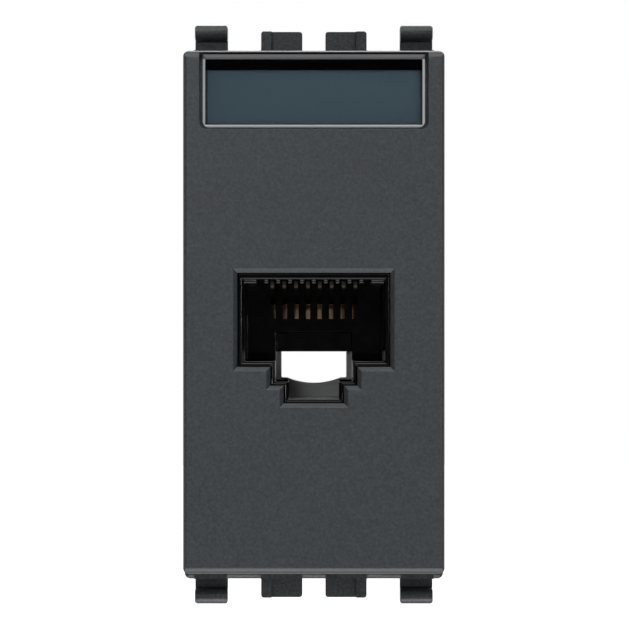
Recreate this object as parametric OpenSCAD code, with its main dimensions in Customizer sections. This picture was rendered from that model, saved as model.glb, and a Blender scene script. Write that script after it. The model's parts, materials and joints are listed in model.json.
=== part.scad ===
// Wall socket insert, one module wide, with an 8-way plug opening and a label window.
// The front faces -Y, the height runs along Z, and Y = 0 is the plane where the lugs seat.

/* [Front cover] */
// Width of the face, one module of the frame
module_w = 22.4; // [22:0.1:23]
// Height of the face
face_h = 44.86; // [44:0.02:46]
// Height of the face's middle above the body's middle
face_rise = 0.18; // [0:0.02:0.2]
// Distance from the face to the plane where the lugs seat
face_proud = 6.3; // [5.8:0.1:8]
// Radius of the face's four corners
face_corner_r = 0.55; // [0.4:0.05:1]
// Radius of the face's left and right front edges
face_side_r = 0.4; // [0.2:0.05:0.6]
// Radius of the face's top and bottom front edges
face_end_r = 0.8; // [0.4:0.05:1]
// Thickness of the face
face_t = 1.8; // [1.6:0.1:2.2]
// Depth of the cover's side walls from the face
cover_d = 3.3; // [3:0.1:3.8]
// Thickness of the cover's side walls
cover_wall = 1.2; // [1:0.1:1.4]

/* [Label window] */
// Width of the label pocket
pocket_w = 19.6; // [18:0.1:19.8]
// Height of the label pocket
pocket_h = 6.61; // [6.3:0.01:7]
// Thickness of the lip over the label pocket
pocket_lip = 0.16; // [0.12:0.01:0.3]
// Depth of the label pocket
pocket_d = 1.3; // [1.1:0.05:1.4]
// Radius of the pocket's lower corners
pocket_r = 0.7; // [0.4:0.05:1]
// Gap between the lens and the sides of its pocket
window_side_gap = 0.28; // [0.15:0.01:0.4]
// Gap between the lens and the bottom of its pocket
window_foot_gap = 0.16; // [0.1:0.01:0.3]
// Gap between the lens and the top of its pocket
window_head_gap = 0.18; // [0.1:0.01:0.3]
// Thickness of the lens
lens_t = 0.8; // [0.6:0.05:0.9]
// Width of the bevel round the front of the lens
lens_bevel = 0.22; // [0.1:0.02:0.3]
// Thickness of the lens's skirt
skirt_t = 0.35; // [0.3:0.05:0.5]
// Height of the lens's thick top bar
top_bar_h = 0.42; // [0.35:0.01:0.6]
// Height of the slot above the card
slot_h = 0.9; // [0.85:0.01:1.1]
// Width of the lens's leg, which passes through the slot
leg_w = 7; // [5:0.1:9]
// Length of the leg behind the pocket's floor
leg_len = 1; // [0.8:0.1:1.5]
// Thickness of the leg
leg_t = 0.6; // [0.5:0.02:0.7]
// Thickness of the label card
card_t = 0.25; // [0.2:0.01:0.3]

/* [Plug cavity] */
// Height of the cavity's ceiling above the body's middle
plug_top = 2.65; // [2.4:0.05:3]
// Width of the cavity
plug_w = 11.9; // [11.8:0.05:12.2]
// Height of the cavity, without the latch steps
plug_h = 6.7; // [6.6:0.05:6.9]
// Depth of the cavity from the jack's front to its end stops
plug_d = 11.15; // [10.8:0.05:11.4]
// Width of the upper latch step
latch_w = 6.7; // [6.5:0.05:7]
// Height of the upper latch step
latch_h = 1.75; // [1.6:0.05:1.9]
// Width of the lower latch step
catch_w = 4.4; // [4.1:0.05:4.6]
// Height of the lower latch step
catch_h = 1.5; // [1.3:0.05:1.6]
// Depth of the wider mouth
mouth_d = 0.55; // [0.4:0.05:0.7]
// How much wider the mouth is on each side
mouth_side = 0.12; // [0.05:0.01:0.2]
// How much higher the mouth's ceiling is
mouth_rise = 0.34; // [0.2:0.01:0.4]
// How much wider the mouth is along its floor and latch steps
mouth_floor = 0.05; // [0.03:0.01:0.08]
// Chamfer round the mouth's edge
mouth_chamfer = 0.12; // [0.08:0.01:0.15]

/* [Jack housing] */
// Distance from the face back to the jack's front
jack_inset = 0.45; // [0.3:0.05:0.6]
// Length of the jack housing
jack_len = 12.95; // [12.8:0.05:13.2]
// Thickness of the jack's side walls
jack_wall = 1.25; // [1:0.05:1.4]
// Thickness of the jack's floor below the lower latch step
jack_floor = 0.9; // [0.7:0.05:1.1]
// Thickness of the jack's roof above the comb
jack_roof = 1.4; // [1.2:0.05:1.6]
// Rim of the nose beside the cavity
nose_side = 0.55; // [0.45:0.01:0.65]
// Rim of the nose above the cavity
nose_top = 0.86; // [0.7:0.01:1.1]
// Rim of the nose below the cavity
nose_floor = 0.38; // [0.3:0.01:0.45]
// Rim of the nose beside the latch steps
nose_step_side = 0.32; // [0.25:0.01:0.4]
// Rim of the nose below the latch steps
nose_step_floor = 0.24; // [0.18:0.01:0.3]
// Gap between the nose and the opening in the face
nose_gap = 0.05; // [0.03:0.01:0.1]
// Chamfer round the opening in the face
opening_chamfer = 0.36; // [0.2:0.01:0.43]
// Drop from the cavity's ceiling to the top of the rear channel
channel_drop = 4.25; // [4:0.05:4.5]
// Drop from the cavity's ceiling to the rear opening
window_drop = 5.95; // [5.7:0.05:6.1]
// Thickness of the lip over the rear opening
channel_lip = 0.8; // [0.6:0.05:1]
// Width of the jack's side lugs
jack_lug_w = 1; // [0.8:0.1:1.2]
// Height of the jack's side lugs
jack_lug_h = 3; // [2:0.1:4]
// Depth of the jack's side lugs
jack_lug_d = 2.2; // [1.5:0.1:3]
// Radius of the jack's locating pegs
peg_r = 0.6; // [0.5:0.05:0.7]

/* [Contacts] */
// Spacing of the contacts
contact_pitch = 1.02; // [1:0.005:1.04]
// Number of comb slots, with an empty one at each end
comb_slots = 10; // [8:1:10]
// Width of a comb slot
comb_slot_w = 0.6; // [0.55:0.01:0.65]
// Height of a comb slot above the ceiling
comb_slot_h = 0.6; // [0.5:0.01:0.7]
// Bevel along the front of the comb's teeth
comb_bevel = 0.13; // [0.08:0.01:0.2]
// Width of a contact
contact_w = 0.4; // [0.35:0.01:0.45]
// Thickness of a contact
contact_t = 0.3; // [0.25:0.01:0.32]
// Radius of a contact's front bend
bend_r = 0.4; // [0.35:0.01:0.45]
// Distance from the comb's front to the contact's front bend
bend_inset = 0.2; // [0.15:0.01:0.3]
// Slope of a contact's long leg in degrees
leg_tilt = 15; // [14:0.5:16]
// Length of a contact's long leg
leg_run = 5.15; // [5:0.05:5.3]
// Slope of a contact's foot in degrees
foot_tilt = 38; // [34:1:42]
// Length of a contact's foot
foot_run = 2.03; // [1.9:0.01:2.1]
// Spacing of the two rows where the contacts meet the board
row_gap = 2.54; // [2.4:0.02:2.6]
// Length of the contact carrier
carrier_len = 4.2; // [4:0.1:4.4]
// Width of the contact carrier
carrier_w = 10.6; // [10.2:0.1:10.9]
// Height of the contact carrier above its upper row
carrier_top = 1.2; // [1:0.05:1.4]
// Gap round a contact in its carrier
mould_gap = 0.03; // [0.02:0.005:0.05]

/* [Body frame] */
// How far the body's rim is taller than the face at each end
rim_reveal = 0.44; // [0.3:0.02:0.6]
// Radius of the rim's front edges
rim_edge_r = 0.5; // [0.2:0.02:0.6]
// Step from the rim in to the body's sides
side_step = 0.3; // [0.2:0.05:0.5]
// Step from the rim in to the body's top and bottom
top_step = 1.58; // [1.4:0.02:1.7]
// Thickness of the body's walls
body_wall = 1.2; // [1:0.05:1.3]
// Depth of the body behind the seat plane
body_d = 8.7; // [8.5:0.1:9.2]
// Thickness of the webs that hold the jack
web_t = 1; // [0.8:0.1:1.2]
// Gap between the jack and the webs
web_gap = 0.05; // [0.03:0.01:0.1]

/* [Lugs and tabs] */
// Distance from the middle to the inner side of a lug
lug_inner = 1.01; // [0.8:0.01:1.2]
// Width of a lug
lug_w = 3.59; // [3.4:0.01:3.8]
// Height of a lug above the rim
lug_h = 1.83; // [1.6:0.01:2]
// Thickness of a lug
lug_t = 1.8; // [1.5:0.1:2.2]
// Width of the rib on a lug
rib_w = 0.93; // [0.8:0.01:1.1]
// Height of the rib in front of the lug
rib_h = 0.6; // [0.4:0.05:0.8]
// Distance from the middle to the inner side of a tab
tab_inner = 7.52; // [7.2:0.02:7.6]
// Width of a tab
tab_w = 2.84; // [2.6:0.02:3]
// Height of a tab above the rim
tab_h = 2.36; // [2.2:0.01:2.5]
// Thickness of a tab
tab_t = 1.1; // [1:0.05:1.2]
// Distance from the seat plane back to a tab
tab_set = 0.3; // [0.25:0.05:0.4]
// Radius of the bead along a tab's tip
bead_r = 0.65; // [0.6:0.01:0.7]
// Distance that the bead stands in front of the seat plane
bead_proud = 0.9; // [0.7:0.02:1]
// Height of the crease in front of a tab above the rim
crease_h = 0.96; // [0.85:0.01:1.1]
// Thickness of a tab's spring arm
arm_t = 0.9; // [0.8:0.02:1]
// Length of a tab's spring arm behind the seat plane
arm_len = 7.4; // [6.5:0.1:8]
// Length of the arm's root
arm_root = 1.5; // [1.2:0.1:2]
// Radius of the corners of lugs and tabs
tip_corner_r = 0.25; // [0.15:0.01:0.3]

/* [Rear cover] */
// Thickness of the rear cover
rear_t = 1.5; // [1.2:0.1:1.8]
// Gap round the rear cover
rear_gap = 0.1; // [0.05:0.01:0.15]
// Half width of the notch below the jack
notch_half_w = 2.9; // [2.7:0.05:3]
// Drop from the cavity's ceiling to the notch's shelves
notch_drop = 8.28; // [8:0.02:8.5]
// Width of a shelf at each side of the notch
notch_shelf = 0.5; // [0.3:0.05:0.8]
// Sag of the notch's curved lower edge
notch_sag = 0.48; // [0.3:0.02:0.6]
// Width of a snap leg
snap_w = 4; // [3:0.1:5]
// Thickness of a snap leg
snap_t = 1; // [0.8:0.05:1.1]
// Reach of a snap leg's barb
snap_barb = 0.6; // [0.4:0.05:0.8]
// Height of a snap leg's barb along the leg
snap_barb_len = 1.4; // [1:0.1:1.6]
// Length of a snap leg
snap_len = 4.6; // [4:0.1:5]
// Gap round a snap leg's barb in its window
snap_gap = 0.15; // [0.1:0.01:0.2]
// Distance from the body's middle to the cover's snap legs
cover_snap_z = 12.5; // [11.5:0.1:13]
// Margin between the rear cover's snap legs and its ends
rear_snap_margin = 0.4; // [0.2:0.05:1]

/* [Board and terminals] */
// Width of the board
board_w = 14.8; // [14.4:0.1:15]
// Height of the board
board_h = 16.2; // [16:0.1:16.6]
// Thickness of the board
board_t = 1.6; // [1.2:0.1:1.8]
// Distance from the jack's rear to the board
board_stand = 1; // [0.8:0.05:1.2]
// Radius of the board's plated holes
via_r = 0.35; // [0.3:0.01:0.4]
// Length of the terminal block
block_len = 11; // [10:0.1:12]
// Length of the block's solid base
block_base = 3; // [2.5:0.1:3.5]
// Margin between the block and the edge of the board
block_margin = 0.1; // [0.05:0.01:0.2]
// Width of the cable channel in the block
channel_w = 4.6; // [4.4:0.1:5]
// Number of wires on each side
wires_per_side = 4; // [4:1:4]
// Spacing of the wire slots
wire_pitch = 3.9; // [3.7:0.05:4]
// Width of a wire slot
wire_slot_w = 0.9; // [0.8:0.05:1]
// Depth of a wire slot
wire_slot_d = 6.5; // [6:0.1:7]
// Depth of the lead-in at each wire slot
lead_d = 1.3; // [1:0.1:1.5]
// Width of a terminal blade
blade_w = 2; // [1.8:0.05:2.2]
// Thickness of a terminal blade
blade_t = 0.4; // [0.35:0.01:0.45]
// Distance from the block's rear down to the blades' tips
blade_recess = 2; // [1.7:0.1:2.5]
// Width of the slit in a blade
slit_w = 0.35; // [0.3:0.01:0.4]
// Depth of the slit in a blade
slit_d = 4.2; // [3.8:0.1:4.5]
// Width of the blade's tail in the board
tail_w = 0.5; // [0.4:0.02:0.55]
// Gap round a blade in its pocket
blade_gap = 0.05; // [0.03:0.01:0.1]

/* [Wire caps] */
// Thickness of a wire cap
cap_t = 1.2; // [1:0.1:1.5]
// Thickness of the cap's skirt
cap_skirt_t = 0.8; // [0.7:0.05:1]
// Length of the cap's skirt
cap_skirt_len = 5; // [4:0.1:6]
// Gap between a cap and the block
cap_gap = 0.1; // [0.08:0.01:0.15]
// Depth of the cap's ribs in the wire slots
cap_rib_d = 1.5; // [1:0.1:1.7]

/* [Hidden] */
$fn = 48;

// One overrun serves every cut
overrun = 1;
// Steps along each bend of a contact and round a tab's bead
arc_steps = 8;
// A plug has eight lines
contact_count = 8;

// Levels along the depth, from the face back
face_y = -face_proud;
cover_back_y = face_y + cover_d;
pocket_y = face_y + pocket_d;
jack_front_y = face_y + jack_inset;
mouth_y = jack_front_y + mouth_d;
jack_shoulder_y = face_y + face_t;
end_stop_y = jack_front_y + plug_d;
jack_rear_y = jack_front_y + jack_len;
lip_y = jack_rear_y - channel_lip;
board_y = jack_rear_y + board_stand;
board_rear_y = board_y + board_t;
carrier_y = board_y - carrier_len;
rear_plate_y = jack_rear_y + rear_gap;
rear_plate_back_y = rear_plate_y + rear_t;
block_rear_y = board_rear_y + block_len;
blade_tip_y = block_rear_y - blade_recess;

// Heights
face_top_z = face_rise + face_h / 2;
rim_half_h = face_h / 2 + rim_reveal;
body_half_h = rim_half_h - top_step;
body_half_w = module_w / 2 - side_step;
inner_half_w = body_half_w - body_wall;
inner_half_h = body_half_h - body_wall;
rear_snap_z = inner_half_h - rear_gap - rear_snap_margin - snap_w / 2;
pocket_top_z = face_top_z - pocket_lip;
pocket_z = pocket_top_z - pocket_h;
window_top_z = pocket_top_z - window_head_gap;
window_bottom_z = pocket_z + window_foot_gap;
window_w = pocket_w - 2 * window_side_gap;
slot_top_z = window_top_z - top_bar_h;
slot_bottom_z = slot_top_z - slot_h;
floor_z = plug_top - plug_h;
latch_z = floor_z - latch_h;
catch_z = latch_z - catch_h;
jack_top_z = plug_top + comb_slot_h + jack_roof;
jack_bottom_z = catch_z - jack_floor;
jack_half_w = plug_w / 2 + jack_wall;
run_z = plug_top + comb_slot_h - contact_t / 2;
channel_z = plug_top - channel_drop;
opening_z = plug_top - window_drop;
carrier_top_z = run_z + row_gap + carrier_top;
jack_lug_z = (plug_top + floor_z) / 2;
board_bottom_z = opening_z + block_margin;
board_mid_z = board_bottom_z + board_h / 2;
notch_z = plug_top - notch_drop;
rear_window_top_z = board_bottom_z + board_h + rear_gap;
rear_window_half_w = board_w / 2 + rear_gap;
tower_mid_x = (board_w / 2 - block_margin + channel_w / 2) / 2;
block_half_w = board_w / 2 - block_margin;
block_h = board_h - 2 * block_margin;

// Outline (x, z) drawn on the front, extruded from depth y0 back to depth y1
module along_y(y0, y1) {
    translate([0, y1, 0]) rotate([90, 0, 0]) linear_extrude(y1 - y0) children();
}

// Outline (y, z) drawn on the side, extruded from x0 to x1
module along_x(x0, x1) {
    translate([x0, 0, 0]) rotate([90, 0, 90]) linear_extrude(x1 - x0) children();
}

module both_sides() {
    children();
    mirror([1, 0, 0]) children();
}

module both_ends() {
    children();
    mirror([0, 0, 1]) children();
}

// Box from one corner to the opposite corner
module block(low, high) {
    translate(low) cube(high - low);
}

// Upright rectangle with round corners, centred on the origin
module round_rect(w, h, r) {
    square([w - 2 * r, h], center = true);
    square([w, h - 2 * r], center = true);
    for (sx = [-1, 1], sz = [-1, 1]) translate([sx * (w / 2 - r), sz * (h / 2 - r)]) circle(r);
}

// Section with its two front corners round: the first axis is the depth, the second is centred
module round_nose(d, h, r) {
    translate([r, -h / 2]) square([d - r, h]);
    translate([0, r - h / 2]) square([d, h - 2 * r]);
    for (s = [-1, 1]) translate([r, s * (h / 2 - r)]) circle(r);
}

// Section with its two front corners cut at 45 degrees
module bevel_nose(d, h, c) {
    polygon([
        [0, c - h / 2], [c, -h / 2], [d, -h / 2],
        [d, h / 2], [c, h / 2], [0, h / 2 - c]
    ]);
}

// Block with round corners on its outline and round front edges: three outlines meet in one solid
module soft_block(w, h, z, y0, y1, corner_r, side_r, end_r) {
    intersection() {
        along_y(y0, y1) translate([0, z]) round_rect(w, h, corner_r);
        along_x(-w, w) translate([y0, z]) round_nose(y1 - y0, h, end_r);
        translate([0, y0, z - h]) linear_extrude(2 * h) rotate(90) round_nose(y1 - y0, w, side_r);
    }
}

// The stepped outline of a plug, grown on each side by a named rim
function plug_outline(side, top, floor, step_side, step_floor) = [
    [-plug_w / 2 - side, plug_top + top],
    [-plug_w / 2 - side, floor_z - floor],
    [-latch_w / 2 - step_side, floor_z - floor],
    [-latch_w / 2 - step_side, latch_z - step_floor],
    [-catch_w / 2 - step_side, latch_z - step_floor],
    [-catch_w / 2 - step_side, catch_z - step_floor],
    [catch_w / 2 + step_side, catch_z - step_floor],
    [catch_w / 2 + step_side, latch_z - step_floor],
    [latch_w / 2 + step_side, latch_z - step_floor],
    [latch_w / 2 + step_side, floor_z - floor],
    [plug_w / 2 + side, floor_z - floor],
    [plug_w / 2 + side, plug_top + top]
];

function nose_outline(extra) = plug_outline(
    nose_side + extra, nose_top + extra, nose_floor + extra,
    nose_step_side + extra, nose_step_floor + extra
);

function mouth_outline(extra) = plug_outline(
    mouth_side + extra, mouth_rise + extra, mouth_floor + extra, mouth_floor + extra, mouth_floor + extra
);

// Solid between one outline at depth ya and a like outline at depth yb
module loft(outline_a, ya, outline_b, yb) {
    n = len(outline_a);
    points = concat(
        [for (p = outline_a) [p[0], ya, p[1]]],
        [for (p = outline_b) [p[0], yb, p[1]]]
    );
    sides = [for (i = [0:n - 1]) [i, (i + 1) % n, n + (i + 1) % n, n + i]];
    polyhedron(points, concat([[for (i = [n - 1:-1:0]) i]], sides, [[for (i = [n:2 * n - 1]) i]]));
}

// A snap leg that runs back from y = 0 along the inner face of the body's side wall, with its barb outwards
module snap_leg(z) {
    barb_tip = inner_half_w - snap_gap + snap_barb;
    section = [
        [inner_half_w - snap_gap - snap_t, -overrun],
        [inner_half_w - snap_gap, -overrun],
        [inner_half_w - snap_gap, snap_len - snap_barb_len],
        [barb_tip, snap_len - snap_barb_len],
        [inner_half_w - snap_gap, snap_len],
        [inner_half_w - snap_gap - snap_t, snap_len]
    ];
    both_sides() translate([0, 0, z - snap_w / 2]) linear_extrude(snap_w) polygon(section);
}

// The window in the side wall that takes a barb; y0 is the depth of the barb's flat side
module snap_window(z, y0, y1) {
    both_sides() block(
        [inner_half_w - overrun, y0, z - snap_w / 2 - snap_gap],
        [module_w, y1, z + snap_w / 2 + snap_gap]
    );
}

// Outline of the label pocket or, with its gaps, of the lens, from z0 up to z1
module pocket_outline(w, z0, z1, r) {
    half_w = w / 2;
    translate([-half_w, z0 + r]) square([w, z1 - z0 - r]);
    translate([r - half_w, z0]) square([w - 2 * r, z1 - z0]);
    for (s = [-1, 1]) translate([s * (half_w - r), z0 + r]) circle(r);
}

module front_cover() {
    color([0.27, 0.28, 0.29]) {
        difference() {
            soft_block(
                module_w, face_h, face_rise, face_y, cover_back_y,
                face_corner_r, face_side_r, face_end_r
            );
            // hollow behind the face
            block(
                [cover_wall - module_w / 2, face_y + face_t, face_rise - face_h / 2 + cover_wall],
                [module_w / 2 - cover_wall, cover_back_y + overrun, face_top_z - cover_wall]
            );
            // label pocket and the slot for the lens's leg
            along_y(face_y - overrun, pocket_y)
                pocket_outline(pocket_w, pocket_z, pocket_top_z, pocket_r);
            block(
                [skirt_t - window_w / 2, pocket_y - overrun, slot_bottom_z],
                [window_w / 2 - skirt_t, face_y + face_t + overrun, slot_top_z]
            );
            // plug opening with its chamfer
            along_y(face_y - overrun, jack_shoulder_y + overrun) polygon(nose_outline(nose_gap));
            loft(
                nose_outline(nose_gap + 2 * opening_chamfer), face_y - opening_chamfer,
                nose_outline(nose_gap - opening_chamfer), face_y + 2 * opening_chamfer
            );
        }
        for (s = [-1, 1]) translate([0, jack_shoulder_y, 0]) snap_leg(s * cover_snap_z);
    }
}

module label_card() {
    card_z0 = window_bottom_z + skirt_t + mould_gap;
    card_half_w = window_w / 2 - skirt_t - mould_gap;
    color([0.21, 0.27, 0.3]) block(
        [-card_half_w, pocket_y - card_t, card_z0],
        [card_half_w, pocket_y, slot_bottom_z]
    );
}

module label_window() {
    lens_y = face_y + lens_t;
    lens_mid_z = (window_top_z + window_bottom_z) / 2;
    lens_h = window_top_z - window_bottom_z;
    lens_r = pocket_r - window_side_gap / 2;
    leg_z = slot_top_z - (slot_h - leg_t) / 2;
    color([0.75, 0.8, 0.85, 0.4]) {
        difference() {
            intersection() {
                along_y(face_y, pocket_y) pocket_outline(window_w, window_bottom_z, window_top_z, lens_r);
                // four bevels round the front
                along_x(-window_w, window_w) translate([face_y, lens_mid_z])
                    bevel_nose(pocket_d, lens_h, lens_bevel);
                translate([0, face_y, window_bottom_z - lens_h]) linear_extrude(3 * lens_h)
                    rotate(90) bevel_nose(pocket_d, window_w, lens_bevel);
            }
            // the space for the card, inside the skirt
            block(
                [skirt_t - window_w / 2, lens_y, window_bottom_z + skirt_t],
                [window_w / 2 - skirt_t, pocket_y + overrun, slot_top_z]
            );
        }
        block([-leg_w / 2, lens_y, leg_z - leg_t], [leg_w / 2, pocket_y + leg_len, leg_z]);
    }
}

// Outline (x, z) of a lug or tab, with its two outer corners round
module tip_outline(x0, w, z1) {
    r = tip_corner_r;
    translate([x0, 0]) square([w, z1 - r]);
    translate([x0 + r, 0]) square([w - 2 * r, z1]);
    for (x = [x0 + r, x0 + w - r]) translate([x, z1 - r]) circle(r);
}

// Square piece of the rim in front of a lug or tab
module rim_pad(x0, w) {
    block([x0, cover_back_y, inner_half_h], [x0 + w, 0, rim_half_h]);
}

module lug() {
    top_z = rim_half_h + lug_h;
    rib_x = lug_inner + lug_w - rib_w;
    intersection() {
        along_y(-rib_h, lug_t) tip_outline(lug_inner, lug_w, top_z);
        union() {
            block([0, 0, inner_half_h], [module_w, lug_t, top_z + overrun]);
            block([rib_x, -rib_h, rim_half_h - rim_reveal], [module_w, lug_t, top_z + overrun]);
        }
    }
}

// Tab section (y, z): a spring arm that turns outwards and ends in a bead, with a ramp down to a crease
module tab_section() {
    top_z = rim_half_h + tab_h;
    arm_z = rim_half_h - arm_t;
    bead = [bead_r - bead_proud, top_z - bead_r];
    crease = [tab_set, rim_half_h + crease_h];
    reach = crease - bead;
    // the ramp leaves the crease as a tangent to the bead
    ramp_angle = atan2(reach[1], reach[0]) - acos(bead_r / norm(reach));
    polygon(concat(
        [for (i = [0:arc_steps])
            let (a = 90 + i * (ramp_angle + 270) / arc_steps)
            bead + bead_r * [cos(a), sin(a)]],
        [
            crease,
            [tab_set, arm_z],
            [arm_len - arm_root, arm_z],
            [arm_len - arm_root, inner_half_h],
            [arm_len, inner_half_h],
            [arm_len, rim_half_h],
            [tab_set + tab_t, rim_half_h],
            [tab_set + tab_t, top_z - bead_r / 2],
            [tab_set + tab_t - bead_r / 2, top_z]
        ]
    ));
}

module tab() {
    intersection() {
        along_x(tab_inner, tab_inner + tab_w) tab_section();
        along_y(-bead_proud, arm_len) tip_outline(tab_inner, tab_w, rim_half_h + tab_h);
    }
}

module body_frame() {
    color([0.25, 0.26, 0.27]) {
        difference() {
            union() {
                soft_block(
                    module_w, 2 * rim_half_h, 0, cover_back_y, 0, face_corner_r, rim_edge_r, rim_edge_r
                );
                // the rim's edge stays square in front of the lugs and tabs
                both_sides() both_ends() {
                    rim_pad(lug_inner, lug_w);
                    rim_pad(tab_inner, tab_w);
                }
                along_y(-overrun, body_d)
                    round_rect(2 * body_half_w, 2 * body_half_h, face_corner_r);
            }
            block(
                [-inner_half_w, cover_back_y - overrun, -inner_half_h],
                [inner_half_w, body_d + overrun, inner_half_h]
            );
            // room for the tabs to spring behind the rim
            both_sides() both_ends() block(
                [tab_inner - tab_set, -tab_set, body_half_h],
                [tab_inner + tab_w + tab_set, overrun, rim_half_h + overrun]
            );
            // windows for the snap legs
            for (s = [-1, 1]) {
                snap_window(
                    s * cover_snap_z,
                    jack_shoulder_y + snap_len - snap_barb_len - snap_gap,
                    jack_shoulder_y + snap_len + snap_gap
                );
                snap_window(
                    s * rear_snap_z,
                    rear_plate_y - snap_len - snap_gap,
                    rear_plate_y - snap_len + snap_barb_len + snap_gap
                );
            }
        }
        both_sides() both_ends() {
            lug();
            tab();
        }
        jack_webs();
        jack_rails();
    }
}

// Two webs across the body, one over and one under the jack
module jack_webs() {
    for (span = [
        [jack_top_z + web_gap, jack_top_z + web_gap + web_t, carrier_y - web_gap],
        [jack_bottom_z - web_gap - web_t, jack_bottom_z - web_gap, rear_plate_y]
    ]) block([-inner_half_w, cover_back_y, span[0]], [inner_half_w, span[2], span[1]]);
}

// Rails beside the jack that hold its side lugs
module jack_rails() {
    both_sides() for (s = [-1, 1]) {
        near = jack_lug_z + s * (jack_lug_h / 2 + web_gap);
        far = near + s * web_t;
        block(
            [jack_half_w + web_gap, cover_back_y, min(near, far)],
            [inner_half_w, rear_plate_y, max(near, far)]
        );
    }
}

// Notch outline (x, z) in the rear cover, open upwards, with shelves and a sagging lower edge
module notch_outline() {
    chord = notch_half_w - notch_shelf;
    sag_r = (chord * chord + notch_sag * notch_sag) / (2 * notch_sag);
    translate([-notch_half_w, notch_z]) square([2 * notch_half_w, board_bottom_z - notch_z]);
    intersection() {
        translate([0, notch_z - notch_sag + sag_r]) circle(sag_r);
        translate([-chord, notch_z - notch_sag]) square([2 * chord, 2 * notch_sag]);
    }
}

module rear_cover() {
    half_w = inner_half_w - rear_gap;
    half_h = inner_half_h - rear_gap;
    color([0.42, 0.43, 0.44]) {
        difference() {
            along_y(rear_plate_y, rear_plate_back_y)
                round_rect(2 * half_w, 2 * half_h, face_corner_r);
            block(
                [-rear_window_half_w, rear_plate_y - overrun, board_bottom_z - rear_gap],
                [rear_window_half_w, rear_plate_back_y + overrun, rear_window_top_z]
            );
            along_y(rear_plate_y - overrun, rear_plate_back_y + overrun) notch_outline();
        }
        for (s = [-1, 1]) translate([0, rear_plate_y, 0]) mirror([0, 1, 0]) snap_leg(s * rear_snap_z);
    }
}

module jack_housing() {
    comb_w = (comb_slots - 1) * contact_pitch;
    color([0.06, 0.06, 0.06]) difference() {
        union() {
            along_y(jack_front_y, jack_shoulder_y + overrun) polygon(nose_outline(0));
            block(
                [-jack_half_w, jack_shoulder_y, jack_bottom_z],
                [jack_half_w, jack_rear_y, jack_top_z]
            );
            both_sides() {
                block(
                    [jack_half_w - overrun, -jack_lug_d / 2, jack_lug_z - jack_lug_h / 2],
                    [jack_half_w + jack_lug_w, jack_lug_d / 2, jack_lug_z + jack_lug_h / 2]
                );
                locating_peg();
            }
        }
        // the cavity, its wider mouth and the chamfer round the mouth
        along_y(mouth_y - mouth_floor, end_stop_y) polygon(plug_outline(0, 0, 0, 0, 0));
        along_y(jack_front_y - overrun, mouth_y) polygon(mouth_outline(0));
        loft(
            mouth_outline(2 * mouth_chamfer), jack_front_y - mouth_chamfer,
            mouth_outline(-mouth_chamfer), jack_front_y + 2 * mouth_chamfer
        );
        // the latch channel, deeper than the end stops and open to the rear below its lip
        block([-latch_w / 2, end_stop_y - overrun, latch_z], [latch_w / 2, lip_y, channel_z]);
        block([-latch_w / 2, end_stop_y, latch_z], [latch_w / 2, jack_rear_y + overrun, opening_z]);
        block([-catch_w / 2, end_stop_y - overrun, catch_z], [catch_w / 2, jack_rear_y + overrun, latch_z]);
        // comb slots in the ceiling, and the bevel along the teeth
        for (i = [0:comb_slots - 1]) {
            x = i * contact_pitch - comb_w / 2;
            block(
                [x - comb_slot_w / 2, mouth_y - nose_gap, plug_top - overrun],
                [x + comb_slot_w / 2, carrier_y + overrun, plug_top + comb_slot_h]
            );
        }
        along_x(-plug_w / 2 - mouth_side / 2, plug_w / 2 + mouth_side / 2) polygon([
            [mouth_y - comb_bevel, plug_top - comb_bevel],
            [mouth_y + 2 * comb_bevel, plug_top - comb_bevel],
            [mouth_y - comb_bevel / 2, plug_top + 3 * comb_bevel / 2],
            [mouth_y - comb_bevel, plug_top + 3 * comb_bevel / 2]
        ]);
        // recess for the contact carrier
        block(
            [-carrier_w / 2 - mould_gap, carrier_y, plug_top],
            [carrier_w / 2 + mould_gap, jack_rear_y + overrun, jack_top_z + overrun]
        );
    }
}

module locating_peg() {
    translate([board_w / 2 - 2 * peg_r, 0, board_bottom_z + 2 * peg_r]) rotate([-90, 0, 0])
        translate([0, 0, jack_rear_y - overrun]) cylinder(r = peg_r, h = board_stand + board_t + overrun);
}

// Mitred sideways direction of a path at one of its points
function unit(v) = v / norm(v);
function side_of(v) = [-v[1], v[0]];
function mitre(path, i) = let (
    before = side_of(unit(path[max(i, 1)] - path[max(i, 1) - 1])),
    last = len(path) - 1,
    after = side_of(unit(path[min(i, last - 1) + 1] - path[min(i, last - 1)])),
    middle = unit(before + after)
) middle / (middle * before);

// Strip of thickness t along a path
function ribbon(path, t) = concat(
    [for (i = [0:len(path) - 1]) path[i] + t / 2 * mitre(path, i)],
    [for (i = [len(path) - 1:-1:0]) path[i] - t / 2 * mitre(path, i)]
);

// Contact path (y, z) from the board forwards, round the front bend and down to the foot
function contact_path(rise, tail_y) = let (
    bend_c = [mouth_y + bend_inset + bend_r + contact_t / 2, run_z - bend_r],
    jog = carrier_len / 4,
    turn = 180 - leg_tilt,
    leg_start = bend_c + bend_r * [cos(90 + turn), sin(90 + turn)],
    knee = leg_start + leg_run * [cos(leg_tilt), -sin(leg_tilt)],
    foot = knee + foot_run * [cos(foot_tilt), -sin(foot_tilt)]
) concat(
    [[tail_y, run_z + rise]],
    rise > 0 ? [[carrier_y + 3 * jog, run_z + rise], [carrier_y + jog, run_z]] : [],
    [for (i = [0:arc_steps])
        let (a = 90 + i * turn / arc_steps)
        bend_c + bend_r * [cos(a), sin(a)]],
    [knee, foot]
);

function contact_x(i) = (i - (contact_count + 1) / 2) * contact_pitch;
function contact_rise(i) = i % 2 == 0 ? row_gap : 0;

module contact(i) {
    color([0.85, 0.68, 0.35]) translate([contact_x(i) - contact_w / 2, 0, 0])
        along_x(0, contact_w) polygon(ribbon(contact_path(contact_rise(i), board_rear_y), contact_t));
}

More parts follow.
